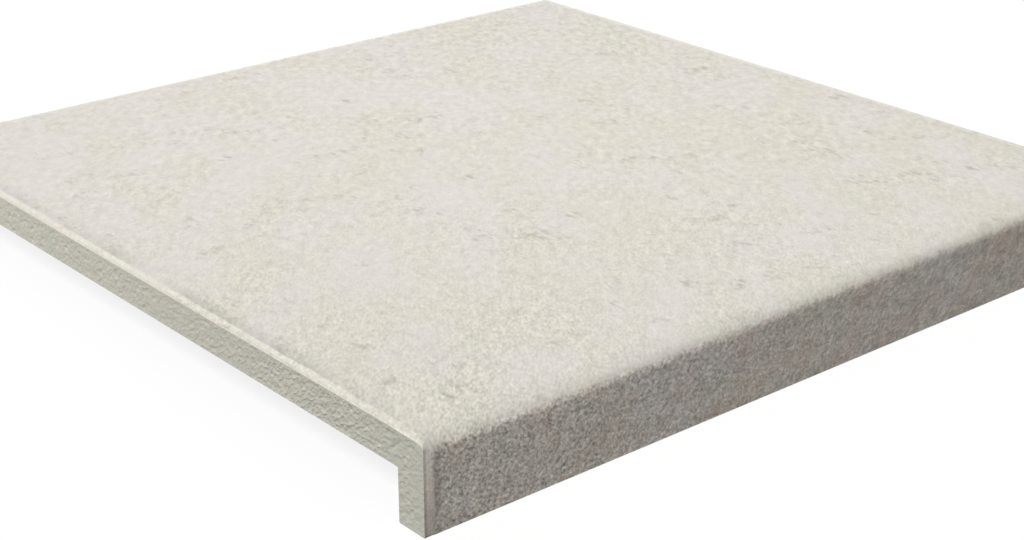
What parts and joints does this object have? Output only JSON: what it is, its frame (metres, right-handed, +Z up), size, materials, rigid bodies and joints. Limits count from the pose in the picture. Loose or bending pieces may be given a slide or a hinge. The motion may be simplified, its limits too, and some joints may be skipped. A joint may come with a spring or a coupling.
{
  "type": "stair tread tile",
  "caption": "Square stair tread tile of fired stoneware in an L section, with a rounded nose that hangs over the step's edge and a matt stone-look glaze.",
  "frame": {"origin": "under the middle of the tile, at the level of the nose's foot", "axes": "+X along the nose, +Y from the nose towards the back edge, +Z up out of the walking face; the nose face looks along -Y"},
  "size_m": [0.33, 0.33, 0.03],
  "materials": {
    "glazed_stoneware": "matt glaze printed as pale stone on the tread and nose, bare grey-green fired body on the ends, back edge and underside"
  },
  "bodies": {
    "root": {"tread_tile": "glazed_stoneware"}
  },
  "joints": []
}
